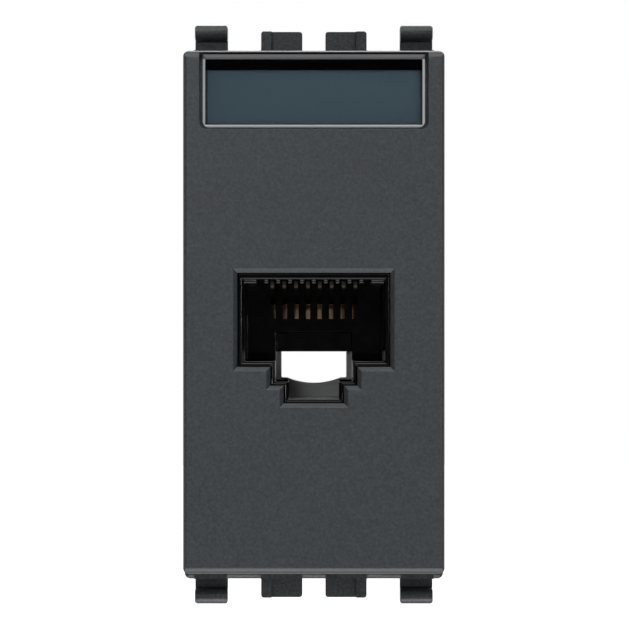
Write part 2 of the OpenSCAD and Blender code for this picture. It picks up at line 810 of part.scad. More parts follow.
module contact_carrier() {
    color([0.1, 0.1, 0.1]) difference() {
        block([-carrier_w / 2, carrier_y, plug_top], [carrier_w / 2, board_y, carrier_top_z]);
        for (i = [1:contact_count]) translate([contact_x(i) - contact_w / 2 - mould_gap, 0, 0])
            along_x(0, contact_w + 2 * mould_gap) polygon(ribbon(
                contact_path(contact_rise(i), board_y + overrun), contact_t + 2 * mould_gap
            ));
    }
}

module pcb() {
    color([0.1, 0.35, 0.2]) difference() {
        block(
            [-board_w / 2, board_y, board_bottom_z],
            [board_w / 2, board_rear_y, board_bottom_z + board_h]
        );
        for (i = [1:contact_count]) via(contact_x(i), run_z + contact_rise(i), via_r);
        for (i = [1:2 * wires_per_side]) via(blade_x(i), blade_z(i), via_r);
        both_sides() via(board_w / 2 - 2 * peg_r, board_bottom_z + 2 * peg_r, peg_r + blade_gap);
    }
}

module via(x, z, r) {
    translate([x, board_y - overrun, z]) rotate([-90, 0, 0]) cylinder(r = r, h = board_t + 2 * overrun);
}

// Blades 1 to 4 run down the left tower and 5 to 8 down the right one
function blade_x(i) = (i > wires_per_side ? 1 : -1) * tower_mid_x;
function blade_z(i) = board_mid_z + ((wires_per_side - 1) / 2 - (i - 1) % wires_per_side) * wire_pitch;

module idc_blade(i) {
    color([0.8, 0.78, 0.72]) translate([blade_x(i) - blade_t / 2, 0, blade_z(i)]) along_x(0, blade_t)
        polygon([
            [board_y, -tail_w / 2], [board_rear_y, -tail_w / 2],
            [board_rear_y, -blade_w / 2], [blade_tip_y - slit_w, -blade_w / 2],
            [blade_tip_y, -blade_w / 2 + slit_w], [blade_tip_y, -slit_w],
            [blade_tip_y - slit_w, -slit_w / 2], [blade_tip_y - slit_d, -slit_w / 2],
            [blade_tip_y - slit_d, slit_w / 2], [blade_tip_y - slit_w, slit_w / 2],
            [blade_tip_y, slit_w], [blade_tip_y, blade_w / 2 - slit_w],
            [blade_tip_y - slit_w, blade_w / 2], [board_rear_y, blade_w / 2],
            [board_rear_y, tail_w / 2], [board_y, tail_w / 2]
        ]);
}

// Side view (y, z) of the wire slot with its lead-in, about its own height
module wire_slot_outline() {
    lead_w = (wire_pitch + wire_slot_w) / 2;
    polygon([
        [block_rear_y - wire_slot_d, -wire_slot_w / 2],
        [block_rear_y - lead_d, -wire_slot_w / 2],
        [block_rear_y, -lead_w / 2],
        [block_rear_y + overrun, -lead_w / 2],
        [block_rear_y + overrun, lead_w / 2],
        [block_rear_y, lead_w / 2],
        [block_rear_y - lead_d, wire_slot_w / 2],
        [block_rear_y - wire_slot_d, wire_slot_w / 2]
    ]);
}

module idc_block() {
    bottom_z = board_mid_z - block_h / 2;
    color([0.86, 0.85, 0.8]) difference() {
        block([-block_half_w, board_rear_y, bottom_z], [block_half_w, block_rear_y, bottom_z + block_h]);
        block(
            [-channel_w / 2, board_rear_y + block_base, bottom_z - overrun],
            [channel_w / 2, block_rear_y + overrun, bottom_z + block_h + overrun]
        );
        for (i = [1:wires_per_side]) translate([0, 0, blade_z(i)])
            along_x(-module_w, module_w) wire_slot_outline();
        for (i = [1:2 * wires_per_side]) block(
            [
                blade_x(i) - blade_t / 2 - blade_gap, board_rear_y - overrun,
                blade_z(i) - blade_w / 2 - blade_gap
            ],
            [
                blade_x(i) + blade_t / 2 + blade_gap, blade_tip_y + blade_gap,
                blade_z(i) + blade_w / 2 + blade_gap
            ]
        );
    }
}

// Cap over the right tower: a plate, a skirt down the outer side and one rib for each wire slot
module wire_cap() {
    bottom_z = board_mid_z - block_h / 2;
    plate_y = block_rear_y + cap_gap;
    skirt_x = block_half_w + cap_gap;
    block([channel_w / 2, plate_y, bottom_z], [skirt_x + cap_skirt_t, plate_y + cap_t, bottom_z + block_h]);
    block(
        [skirt_x, block_rear_y - cap_skirt_len, bottom_z],
        [skirt_x + cap_skirt_t, plate_y + cap_t, bottom_z + block_h]
    );
    for (i = [1:wires_per_side]) block(
        [channel_w / 2 + cap_gap, block_rear_y - cap_rib_d, blade_z(i) - wire_slot_w / 2 + cap_gap],
        [skirt_x, plate_y, blade_z(i) + wire_slot_w / 2 - cap_gap]
    );
}

module right_wire_cap() {
    color([0.5, 0.52, 0.54]) wire_cap();
}

module left_wire_cap() {
    color([0.5, 0.52, 0.54]) mirror([1, 0, 0]) wire_cap();
}

front_cover();
label_card();
label_window();
body_frame();
rear_cover();
jack_housing();
contact_carrier();
for (i = [1:contact_count]) contact(i);
pcb();
idc_block();
for (i = [1:2 * wires_per_side]) idc_blade(i);
left_wire_cap();
right_wire_cap();
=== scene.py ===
# %% [markdown]
# # A one-module data socket
#
# The object is a wall insert 50 mm tall: an anthracite face with a label window and a stepped plug
# opening, a black jack behind the opening, and sprung tabs above and below that hold it in its frame.
# The construction is already solid geometry, loaded here as a fixed frame. Blender gives it rounded
# edges, real finishes, light and a camera.

# %% Load the solid model
import json
from math import pi, radians

import bmesh
import bpy
import numpy as np
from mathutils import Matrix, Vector
from mathutils.bvhtree import BVHTree
from mathutils.kdtree import KDTree


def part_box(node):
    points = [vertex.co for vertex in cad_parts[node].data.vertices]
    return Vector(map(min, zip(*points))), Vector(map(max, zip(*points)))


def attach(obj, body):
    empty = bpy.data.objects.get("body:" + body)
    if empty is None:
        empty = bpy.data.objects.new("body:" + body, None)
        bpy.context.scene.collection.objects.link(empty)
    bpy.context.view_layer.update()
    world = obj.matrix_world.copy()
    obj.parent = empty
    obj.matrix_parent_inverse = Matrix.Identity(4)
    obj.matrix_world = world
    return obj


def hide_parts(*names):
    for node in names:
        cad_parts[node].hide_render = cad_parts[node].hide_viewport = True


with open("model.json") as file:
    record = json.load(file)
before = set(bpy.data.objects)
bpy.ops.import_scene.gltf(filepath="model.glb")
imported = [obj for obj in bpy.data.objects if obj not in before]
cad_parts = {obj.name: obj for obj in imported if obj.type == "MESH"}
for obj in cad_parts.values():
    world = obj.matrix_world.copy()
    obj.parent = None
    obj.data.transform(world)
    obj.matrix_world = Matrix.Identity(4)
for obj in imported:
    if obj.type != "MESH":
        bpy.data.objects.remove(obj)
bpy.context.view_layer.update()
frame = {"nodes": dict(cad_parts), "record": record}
MM = 0.001
body_of = {node: body for body, nodes in frame["record"]["behaviour"]["bodies"].items() for node in nodes}
slot_of = {part["node"]: part["material_slot"] for part in frame["record"]["subparts"]}

# %% [markdown]
# ## The camera
#
# The photograph looks straight at the face, and the tabs behind the face shrink very little, so it was
# taken with a long lens from about 0.3 m. One pixel is 0.0855 mm on the face, so the picture's 629
# pixels are 53.8 mm wide there. The focal length follows from similar triangles: the sensor is to the
# focal length as the width of the view is to the distance. The camera stands 0.65 pixels aside, tuned so
# that both side edges fall where the photograph has them.

# %% Place the camera in front of the face
SENSOR = 36.0
PHOTO_SIDE = 629
PIXEL = 0.08553 * MM
STAND_OFF = 295 * MM
ASIDE = 0.65 * PIXEL
face_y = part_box("front_cover")[0].y

camera_data = bpy.data.cameras.new("camera")
camera_data.sensor_width = SENSOR
camera_data.lens = SENSOR * STAND_OFF / (PHOTO_SIDE * PIXEL)
camera_data.clip_start = 10 * MM
camera = bpy.data.objects.new("camera", camera_data)
camera.location = (ASIDE, face_y - STAND_OFF, 0)
camera.rotation_euler = (pi / 2, 0, 0)
bpy.context.scene.collection.objects.link(camera)
bpy.context.scene.camera = camera
bpy.context.scene.view_settings.view_transform = "Standard"
print(f"lens {camera_data.lens:.1f} mm at {camera.location.y:.3f} m")


# %% [markdown]
# ## Small helpers for shader nodes
#
# A material in Blender is a graph of nodes. Building one by hand takes many clicks, and a script that
# sets each socket in its own line is hard to read. Two helpers keep each material to a few lines: one
# adds a node and fills its sockets, and one turns a colour picked from a screen into the linear values
# that light adds up in.

# %% Helpers: add a node, convert a colour
def add_node(tree, kind, settings=None, **sockets):
    """Adds a node. A socket takes a plain value or another node's output; slot_0 is the socket number 0."""
    made = tree.nodes.new(kind)
    for name, value in (settings or {}).items():
        setattr(made, name, value)
    for name, value in sockets.items():
        key = int(name[5:]) if name.startswith("slot_") else name.replace("_", " ")
        if isinstance(value, bpy.types.NodeSocket):
            tree.links.new(value, made.inputs[key])
        else:
            made.inputs[key].default_value = value
    return made


def screen_colour(red, green, blue):
    """Linear colour of a screen colour of 0 to 255, by the standard curve: ((c + 0.055) / 1.055) to the power 2.4."""
    share = np.array([red, green, blue]) / 255
    linear = np.where(share <= 0.04045, share / 12.92, ((share + 0.055) / 1.055) ** 2.4)
    return (*(float(c) for c in linear), 1.0)


# %% [markdown]
# ## Light
#
# The photograph shows one large soft light above and in front: the face is a little lighter at the top,
# its left and right edges fall off into dark, and the top edge carries a broad pale band. A small lamp low
# in front draws the thin bright lines along the lower edges. Two small lamps beside the camera give the
# flat face its sheen, and a large one behind lights the rear for other views. Each lamp is a square turned
# to the object, set by the brightness that it alone gives a white card.

# %% The lamps
def soft_lamp(name, place, side, level):
    """Square lamp turned to the object. A lamp of power P at distance r gives a white card that faces it
    the brightness P / (pi * r) ** 2, so the power is level * (pi * r) ** 2."""
    data = bpy.data.lights.new(name, "AREA")
    data.shape, data.size = "SQUARE", side
    place = Vector(place)
    data.energy = level * (pi * place.length) ** 2
    lamp = bpy.data.objects.new(name, data)
    lamp.location = place
    lamp.rotation_euler = (-place).to_track_quat("-Z", "Y").to_euler()
    lamp.visible_camera = False
    bpy.context.scene.collection.objects.link(lamp)
    return lamp


soft_lamp("upper_front_lamp", place=(0.02, -0.17, 0.30), side=0.34, level=0.55)
soft_lamp("low_front_lamp", place=(0, -0.10, -0.23), side=0.09, level=0.22)
soft_lamp("left_lamp", place=(-0.11, -0.42, 0.11), side=0.07, level=0.075)
soft_lamp("right_lamp", place=(0.2, -0.4, 0.02), side=0.04, level=0.05)
soft_lamp("rear_lamp", place=(0.1, 0.5, 0.35), side=0.4, level=0.4)
print("five lamps")

# %% [markdown]
# ## The white room
#
# The background is white paper, hung behind the object, and the room behind the camera is dark. So the
# world is white for the camera and, for all other rays, bright only towards the paper. Its strength there
# depends on nothing but the direction, so a reflection and the soft light agree.

# %% The world
world = bpy.data.worlds.new("white_room")
bpy.context.scene.world = world
world.use_nodes = True
tree = world.node_tree
tree.nodes.clear()
ROOM_DIM = 0.015
PAPER_BRIGHT = 1.0
direction = add_node(tree, "ShaderNodeTexCoord")
axes = add_node(tree, "ShaderNodeSeparateXYZ", Vector=direction.outputs["Generated"])
towards_paper = add_node(tree, "ShaderNodeMapRange", {"interpolation_type": "SMOOTHSTEP"},
                         Value=axes.outputs["Y"], From_Min=-0.3, From_Max=0.9, To_Min=ROOM_DIM, To_Max=PAPER_BRIGHT)
path = add_node(tree, "ShaderNodeLightPath")
strength = add_node(tree, "ShaderNodeMix", Factor=path.outputs["Is Camera Ray"],
                    slot_2=towards_paper.outputs[0], slot_3=PAPER_BRIGHT)
background = add_node(tree, "ShaderNodeBackground", Color=(1, 1, 1, 1), Strength=strength.outputs[0])
add_node(tree, "ShaderNodeOutputWorld", Surface=background.outputs[0])
print("world ready")

# %% [markdown]
# ### The floor
#
# The socket is made to hang in a frame, so it hangs here too, a quarter of a metre over a pale floor that
# catches its shadow. The lamps light the floor near the object only, so a lift that grows with the
# distance makes the far floor as white as the paper, in the picture and in reflections. The floor in front
# lies in the dark room, so reflections see it dim.

# %% The floor
FLOOR_REACH = 6.0
FLOOR_DROP = 0.25
floor_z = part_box("body_frame")[0].z - FLOOR_DROP
corners = FLOOR_REACH * np.array([[-1, -1, 0], [1, -1, 0], [1, 1, 0], [-1, 1, 0]]) + [0, 0, floor_z]
floor_mesh = bpy.data.meshes.new("floor")
floor_mesh.from_pydata(corners.tolist(), [], [(0, 1, 2, 3)])
floor = bpy.data.objects.new("floor", floor_mesh)
bpy.context.scene.collection.objects.link(floor)

floor_paint = bpy.data.materials.new("floor_paint")
floor_paint.use_nodes = True
tree = floor_paint.node_tree
tree.nodes.clear()
FLOOR_TONE = 0.8
LIT_REACH, WHITE_REACH = 0.4, 1.6
NEAR_LIFT, FRONT_GLOW = 0.4, 0.02
place = add_node(tree, "ShaderNodeTexCoord")
reach = add_node(tree, "ShaderNodeVectorMath", {"operation": "LENGTH"}, slot_0=place.outputs["Object"])
lift = add_node(tree, "ShaderNodeMapRange", Value=reach.outputs["Value"],
                From_Min=LIT_REACH, From_Max=WHITE_REACH, To_Min=NEAR_LIFT, To_Max=1.0)
path = add_node(tree, "ShaderNodeLightPath")
axes = add_node(tree, "ShaderNodeSeparateXYZ", Vector=place.outputs["Object"])
behind = add_node(tree, "ShaderNodeMapRange", {"interpolation_type": "SMOOTHSTEP"},
                  Value=axes.outputs["Y"], From_Min=-0.1, From_Max=0.6, To_Min=FRONT_GLOW, To_Max=1.0)
mirrored = add_node(tree, "ShaderNodeMath", {"operation": "MULTIPLY"},
                    slot_0=path.outputs["Is Glossy Ray"], slot_1=behind.outputs[0])
seen = add_node(tree, "ShaderNodeMath", {"operation": "MAXIMUM"},
                slot_0=mirrored.outputs[0], slot_1=path.outputs["Is Transmission Ray"])
seen = add_node(tree, "ShaderNodeMath", {"operation": "MAXIMUM"},
                slot_0=seen.outputs[0], slot_1=path.outputs["Is Camera Ray"])
lifted = add_node(tree, "ShaderNodeMath", {"operation": "MULTIPLY"}, slot_0=seen.outputs[0], slot_1=lift.outputs[0])
glow = add_node(tree, "ShaderNodeEmission", Color=(1, 1, 1, 1), Strength=lifted.outputs[0])
matt = add_node(tree, "ShaderNodeBsdfDiffuse", Color=(FLOOR_TONE, FLOOR_TONE, FLOOR_TONE, 1))
both = add_node(tree, "ShaderNodeAddShader", slot_0=matt.outputs[0], slot_1=glow.outputs[0])
add_node(tree, "ShaderNodeOutputMaterial", Surface=both.outputs[0])
floor_mesh.materials.append(floor_paint)
print(f"floor at {floor_z / MM:.1f} mm")

# %% [markdown]
# ## Shared effects
#
# Moulded plastic takes its look from the steel mould: a fine spark-eroded grain a tenth of a millimetre
# wide, and slow drifts in gloss where the plastic cooled. Drawn metal has streaks along the strip. Both
# effects serve several finishes, so each is a node group with its own named inputs, built once.

# %% Node group: moulded skin
def new_group(name, inputs, outputs):
    """Empty node group. Each socket is (name, kind, default or None)."""
    group = bpy.data.node_groups.new(name, "ShaderNodeTree")
    for direction, sockets in (("INPUT", inputs), ("OUTPUT", outputs)):
        for label, kind, default in sockets:
            made = group.interface.new_socket(label, in_out=direction, socket_type=f"NodeSocket{kind}")
            if default is not None:
                made.default_value = default
    return group, group.nodes.new("NodeGroupInput"), group.nodes.new("NodeGroupOutput")


SURFACE_OUT = [("Color", "Color", None), ("Roughness", "Float", None), ("Normal", "Vector", None)]
moulded_skin, given, result = new_group(
    "moulded_skin",
    [("Tint", "Color", (0.1, 0.1, 0.1, 1)), ("Grain Scale", "Float", 9000.0), ("Grain Depth", "Float", 4e-6),
     ("Tone Range", "Float", 0.1), ("Base Roughness", "Float", 0.4), ("Roughness Range", "Float", 0.08)],
    SURFACE_OUT)
place = add_node(moulded_skin, "ShaderNodeTexCoord")
grain = add_node(moulded_skin, "ShaderNodeTexNoise", Vector=place.outputs["Object"],
                 Scale=given.outputs["Grain Scale"], Detail=2.0, Roughness=0.6)
drift = add_node(moulded_skin, "ShaderNodeTexNoise", Vector=place.outputs["Object"], Scale=140.0, Detail=2.0)
mixed = add_node(moulded_skin, "ShaderNodeMix", Factor=0.9, slot_2=drift.outputs["Fac"], slot_3=grain.outputs["Fac"])
centred = add_node(moulded_skin, "ShaderNodeMath", {"operation": "SUBTRACT"}, slot_0=mixed.outputs[0], slot_1=0.5)
tone = add_node(moulded_skin, "ShaderNodeMath", {"operation": "MULTIPLY_ADD"},
                slot_0=centred.outputs[0], slot_1=given.outputs["Tone Range"], slot_2=1.0)
shade = add_node(moulded_skin, "ShaderNodeVectorMath", {"operation": "SCALE"},
                 slot_0=given.outputs["Tint"], Scale=tone.outputs[0])
gloss = add_node(moulded_skin, "ShaderNodeMath", {"operation": "MULTIPLY_ADD"}, slot_0=centred.outputs[0],
                 slot_1=given.outputs["Roughness Range"], slot_2=given.outputs["Base Roughness"])
relief = add_node(moulded_skin, "ShaderNodeBump", Height=grain.outputs["Fac"], Distance=given.outputs["Grain Depth"])
moulded_skin.links.new(shade.outputs[0], result.inputs["Color"])
moulded_skin.links.new(gloss.outputs[0], result.inputs["Roughness"])
moulded_skin.links.new(relief.outputs["Normal"], result.inputs["Normal"])
print("group moulded_skin has", len(moulded_skin.nodes), "nodes")

# %% [markdown]
# ### Drawn metal
#
# A strip that is pulled through a die keeps fine lines along its length. Noise on coordinates that are
# stretched by a different amount along each axis gives such lines without an image.

# %% Node group: drawn metal
drawn_metal, given, result = new_group(
    "drawn_metal",
    [("Tint", "Color", (0.8, 0.8, 0.8, 1)), ("Streaks", "Vector", (9000.0, 500.0, 2500.0)),
     ("Streak Depth", "Float", 1e-6), ("Tone Range", "Float", 0.3), ("Base Roughness", "Float", 0.25),
     ("Roughness Range", "Float", 0.15)],
    SURFACE_OUT)
place = add_node(drawn_metal, "ShaderNodeTexCoord")
stretched = add_node(drawn_metal, "ShaderNodeVectorMath", {"operation": "MULTIPLY"},
                     slot_0=place.outputs["Object"], slot_1=given.outputs["Streaks"])
streaks = add_node(drawn_metal, "ShaderNodeTexNoise", Vector=stretched.outputs[0], Scale=1.0, Detail=3.0)
centred = add_node(drawn_metal, "ShaderNodeMath", {"operation": "SUBTRACT"}, slot_0=streaks.outputs["Fac"], slot_1=0.5)
tone = add_node(drawn_metal, "ShaderNodeMath", {"operation": "MULTIPLY_ADD"},
                slot_0=centred.outputs[0], slot_1=given.outputs["Tone Range"], slot_2=1.0)
shade = add_node(drawn_metal, "ShaderNodeVectorMath", {"operation": "SCALE"},
                 slot_0=given.outputs["Tint"], Scale=tone.outputs[0])
gloss = add_node(drawn_metal, "ShaderNodeMath", {"operation": "MULTIPLY_ADD"}, slot_0=centred.outputs[0],
                 slot_1=given.outputs["Roughness Range"], slot_2=given.outputs["Base Roughness"])
relief = add_node(drawn_metal, "ShaderNodeBump", Height=streaks.outputs["Fac"], Distance=given.outputs["Streak Depth"])
drawn_metal.links.new(shade.outputs[0], result.inputs["Color"])
drawn_metal.links.new(gloss.outputs[0], result.inputs["Roughness"])
drawn_metal.links.new(relief.outputs["Normal"], result.inputs["Normal"])
print("group drawn_metal has", len(drawn_metal.nodes), "nodes")


# %% [markdown]
# ## Finishes
#
# Each finish is one Principled shader that takes its colour, roughness and normal from a group, and its
# plain numbers on its own sockets. The colours were judged against the photograph and corrected after
# test renders, because gloss adds some light to a dark colour. The face's index of refraction is 1.75,
# more than the 1.5 or so of real plastic: a choice for more sheen on the flat face.

# %% Plastic and metal finishes
def finish(name, group, inputs, **sockets):
    """Material of one Principled shader fed by a shared group; sockets are the shader's own plain values."""
    material = bpy.data.materials.new(name)
    material.use_nodes = True
    tree = material.node_tree
    tree.nodes.clear()
    skin = add_node(tree, "ShaderNodeGroup", {"node_tree": group}, **inputs)
    shader = add_node(tree, "ShaderNodeBsdfPrincipled", Base_Color=skin.outputs["Color"],
                      Roughness=skin.outputs["Roughness"], Normal=skin.outputs["Normal"], **sockets)
    add_node(tree, "ShaderNodeOutputMaterial", Surface=shader.outputs[0])
    return material


finishes = {
    "cover_plastic": finish("anthracite_face", moulded_skin, dict(
        Tint=screen_colour(56, 62, 67), Grain_Scale=4500.0, Grain_Depth=5e-6, Tone_Range=2.2,
        Base_Roughness=0.46, Roughness_Range=0.15), IOR=1.75),
    "frame_plastic": finish("anthracite_frame", moulded_skin, dict(
        Tint=screen_colour(66, 70, 71), Grain_Scale=4500.0, Grain_Depth=5e-6, Tone_Range=2.4,
        Base_Roughness=0.36, Roughness_Range=0.1)),
    "rear_plastic": finish("grey_rear", moulded_skin, dict(
        Tint=screen_colour(212, 214, 215), Grain_Scale=6000.0, Grain_Depth=6e-6, Tone_Range=0.15,
        Base_Roughness=0.5, Roughness_Range=0.1)),
    "jack_plastic": finish("black_jack", moulded_skin, dict(
        Tint=screen_colour(4, 4, 4), Grain_Scale=900.0, Grain_Depth=1.5e-6, Tone_Range=0.3,
        Base_Roughness=0.14, Roughness_Range=0.1)),
    "block_plastic": finish("ivory_block", moulded_skin, dict(
        Tint=screen_colour(222, 219, 208), Grain_Scale=5000.0, Grain_Depth=4e-6, Tone_Range=0.05,
        Base_Roughness=0.38, Roughness_Range=0.1)),
    "cap_plastic": finish("grey_caps", moulded_skin, dict(
        Tint=screen_colour(140, 144, 148), Grain_Scale=5000.0, Grain_Depth=4e-6, Tone_Range=0.08,
        Base_Roughness=0.42, Roughness_Range=0.1)),
    "contact_gold": finish("gold_plating", drawn_metal, dict(
        Tint=screen_colour(226, 186, 140), Streaks=(9000.0, 600.0, 2500.0), Streak_Depth=1e-6, Tone_Range=0.3,
        Base_Roughness=0.3, Roughness_Range=0.15), Metallic=1.0),
    # Painted shade: a dark metal for the contacts' legs and bends, where gold would mirror the dark jack.
    "contact_painted_shade": finish("painted_shade_metal", drawn_metal, dict(
        Tint=screen_colour(56, 52, 48), Streaks=(9000.0, 600.0, 2500.0), Streak_Depth=1e-6, Tone_Range=0.3,
        Base_Roughness=0.45, Roughness_Range=0.1), Metallic=1.0, Specular_Tint=(0.12, 0.11, 0.1, 1)),
    "blade_metal": finish("tinned_bronze", drawn_metal, dict(
        Tint=screen_colour(205, 203, 198), Streaks=(5000.0, 700.0, 9000.0), Streak_Depth=1e-6, Tone_Range=0.2,
        Base_Roughness=0.32, Roughness_Range=0.15), Metallic=1.0),
}
print("finishes:", sorted(finishes))

# %% [markdown]
# ### The board, the card and the clear window
#
# The board is green lacquer over woven glass: its faces are green and glossy, and its cut edges show
# the pale fibre, so the face direction picks the colour. The card is matt paper with short fibres. The
# window is clear acrylic. Path tracing sends no lamp light straight through glass, so for shadow rays
# only, the glass steps aside and the card behind it gets its light.

# %% The board
board = bpy.data.materials.new("green_board")
board.use_nodes = True
tree = board.node_tree
tree.nodes.clear()
place = add_node(tree, "ShaderNodeTexCoord")
facing = add_node(tree, "ShaderNodeSeparateXYZ", Vector=place.outputs["Normal"])
flat = add_node(tree, "ShaderNodeMath", {"operation": "ABSOLUTE"}, slot_0=facing.outputs["Y"])
on_face = add_node(tree, "ShaderNodeMath", {"operation": "GREATER_THAN"}, slot_0=flat.outputs[0], slot_1=0.7)
weave = add_node(tree, "ShaderNodeTexWave", {"bands_direction": "X"}, Vector=place.outputs["Object"],
                 Scale=1200.0, Distortion=1.0)
fibre = add_node(tree, "ShaderNodeMix", {"data_type": "RGBA"}, Factor=weave.outputs["Fac"],
                 slot_6=screen_colour(150, 140, 92), slot_7=screen_colour(176, 166, 118))
lacquer = add_node(tree, "ShaderNodeMix", {"data_type": "RGBA"}, Factor=weave.outputs["Fac"],
                   slot_6=screen_colour(18, 78, 44), slot_7=screen_colour(22, 88, 50))
picked = add_node(tree, "ShaderNodeMix", {"data_type": "RGBA"}, Factor=on_face.outputs[0],
                  slot_6=fibre.outputs[2], slot_7=lacquer.outputs[2])
gloss = add_node(tree, "ShaderNodeMapRange", Value=on_face.outputs[0], To_Min=0.8, To_Max=0.25)
relief = add_node(tree, "ShaderNodeBump", Height=weave.outputs["Fac"], Distance=2e-6)
shader = add_node(tree, "ShaderNodeBsdfPrincipled", Base_Color=picked.outputs[2], Roughness=gloss.outputs[0],
                  Normal=relief.outputs["Normal"])
add_node(tree, "ShaderNodeOutputMaterial", Surface=shader.outputs[0])
finishes["board"] = board
print("board finish ready")

# %% The card
finishes["card"] = finish("blue_grey_card", moulded_skin, dict(
    Tint=screen_colour(60, 76, 84), Grain_Scale=5200.0, Grain_Depth=3e-6, Tone_Range=0.12,
    Base_Roughness=0.8, Roughness_Range=0.1))
print("card finish ready")

# %% The clear window
clear = bpy.data.materials.new("clear_acrylic")
clear.use_nodes = True
tree = clear.node_tree
tree.nodes.clear()
place = add_node(tree, "ShaderNodeTexCoord")
haze = add_node(tree, "ShaderNodeTexNoise", Vector=place.outputs["Object"], Scale=260.0, Detail=1.0)
polish = add_node(tree, "ShaderNodeMapRange", Value=haze.outputs["Fac"], To_Min=0.015, To_Max=0.05)
shader = add_node(tree, "ShaderNodeBsdfPrincipled", Base_Color=(0.93, 0.97, 1.0, 1), Roughness=polish.outputs[0],
                  IOR=1.49, Transmission_Weight=1.0)
path = add_node(tree, "ShaderNodeLightPath")
aside = add_node(tree, "ShaderNodeBsdfTransparent", Color=(0.9, 0.93, 0.95, 1))
shader = add_node(tree, "ShaderNodeMixShader", slot_0=path.outputs["Is Shadow Ray"],
                  slot_1=shader.outputs[0], slot_2=aside.outputs[0])
add_node(tree, "ShaderNodeOutputMaterial", Surface=shader.outputs[0])
finishes["lens_clear"] = clear
print("clear finish ready")

# %% [markdown]
# ### Finishes for places on the window
#
# In the photograph three places on the window don't look like clear acrylic: a bevel that shines, a top bar
# that looks solid grey, and a strip over the card that is black. Each takes a plain finish with its light or
# shade painted in, so that it looks the same from every side: a painted highlight on the bevel, painted light
# on the bar, where the clear acrylic pipes light, and painted shade over the slot. The black one has no
# gloss at all.

# %% The window's bevel, top bar and slot
# Painted highlight: a near-white finish on the window's bevel, in place of the bright line that it catches.
painted_bevel_highlight = finish("painted_highlight_bevel", moulded_skin, dict(
    Tint=screen_colour(222, 224, 226), Grain_Scale=5200.0, Grain_Depth=2e-6, Tone_Range=0.1,
    Base_Roughness=0.3, Roughness_Range=0.1))
# Painted light: a grey finish for the light that the clear acrylic pipes into its top bar.
painted_light_bar = finish("bar_painted_light", moulded_skin, dict(
    Tint=screen_colour(112, 112, 114), Grain_Scale=5200.0, Grain_Depth=2e-6, Tone_Range=0.1,
    Base_Roughness=0.3, Roughness_Range=0.1))
# Painted shade: a black without gloss, on the window's inner face over the slot and on the ledges beside the latch.
slot_black = finish("slot_black", moulded_skin, dict(
    Tint=screen_colour(3, 3, 3), Grain_Scale=5200.0, Grain_Depth=2e-6, Tone_Range=0.1,
    Base_Roughness=0.5, Roughness_Range=0.1), Specular_IOR_Level=0.0)
print("bevel, bar and slot finishes ready")


# %% [markdown]
# ## Rounded edges
#
# No moulded part has knife edges: each edge carries a small round that catches a line of light. The
# solids have their large rounds already. To add the small ones, each solid is copied, its loose triangles
# are merged into one closed mesh and its sharp edges are bevelled. Where a round is wider than the
# face beside it, the bevel overshoots and a point leaves the solid. Such points are found by their distance
# from the solid, the edges beside them are left sharp, and the bevel is made again from the start.

# %% Round the sharp edges of a solid
def rounded(solid, radius, segments, crease):
    """Bevelled copy of a closed mesh. Edges whose round would leave the solid by more than the radius stay sharp."""
    surface = BVHTree.FromBMesh(solid)
    solid.edges.ensure_lookup_table()
    chosen = {edge.index for edge in solid.edges if edge.calc_face_angle(0) > crease}
    for attempt in range(6):
        work = solid.copy()
        work.edges.ensure_lookup_table()
        bmesh.ops.bevel(work, geom=[work.edges[i] for i in chosen], offset=radius, offset_type="OFFSET",
                        segments=segments, profile=0.5, affect="EDGES", clamp_overlap=False)
        off = [vert for vert in work.verts if surface.find_nearest(vert.co)[3] > radius]
        if not off:
            break
        spots = {tuple(vert.co) for stray in off for face in stray.link_faces for vert in face.verts}
        near = KDTree(len(spots))
        for number, spot in enumerate(spots):
            near.insert(spot, number)
        near.balance()
        chosen -= {i for i in chosen if touches(solid.edges[i], near, 2.5 * radius)}
        work.free()
    return work, len(chosen)


def touches(edge, near, reach):
    """True where an edge passes a spot by less than the reach, tested at steps of the reach along the edge."""
    start, end = (vert.co for vert in edge.verts)
    steps = max(1, int((end - start).length / reach))
    return any(near.find(start.lerp(end, step / steps))[2] < reach for step in range(steps + 1))


# %% [markdown]
# ### Normals that keep flat faces flat
#
# Smooth shading blends the normals of all faces round a corner, and on a flat face of long triangles that
# shows as faint streaks. So each corner's normal is an average in which a face counts with the area of the
# whole flat region that it belongs to: a large flat face keeps its own normal, the narrow faces of a curve
# share theirs, and a round takes its ends from the flat faces beside it.

# %% Flat regions and corner normals
def region_areas(work, tilt=radians(0.3)):
    """For each face, the area of the flat region round it, found by walking over edges that hardly bend."""
    areas = {}
    for seed in work.faces:
        if seed in areas:
            continue
        region, waiting = {seed}, [seed]
        while waiting:
            for edge in waiting.pop().edges:
                if edge.calc_face_angle(1) < tilt:
                    fresh = set(edge.link_faces) - region
                    region |= fresh
                    waiting += fresh
        total = sum(face.calc_area() for face in region)
        areas.update(dict.fromkeys(region, total))
    return areas


def corner_normals(work, crease):
    """One normal per face corner: the mean of the faces round it that bend by less than the crease from its own
    face, each weighted with its flat region's area squared."""
    areas = region_areas(work)
    normals = []
    for face in work.faces:
        for vert in face.verts:
            alike = [other for other in vert.link_faces if other.normal.angle(face.normal, pi) < crease]
            mean = sum((areas[other] ** 2 * other.normal for other in alike), Vector())
            normals.append((mean if mean.length > 0 else face.normal).normalized())
    return normals


# %% [markdown]
# ### A dressed copy of each solid
#
# One function joins these steps: it copies a solid, rounds it, cuts it where two finishes have to meet,
# gives it normals and a finish, and says which solid it replaces and which body it rides on. Each piece has
# its own radius, because a thin blade can't carry the round of a large moulding.

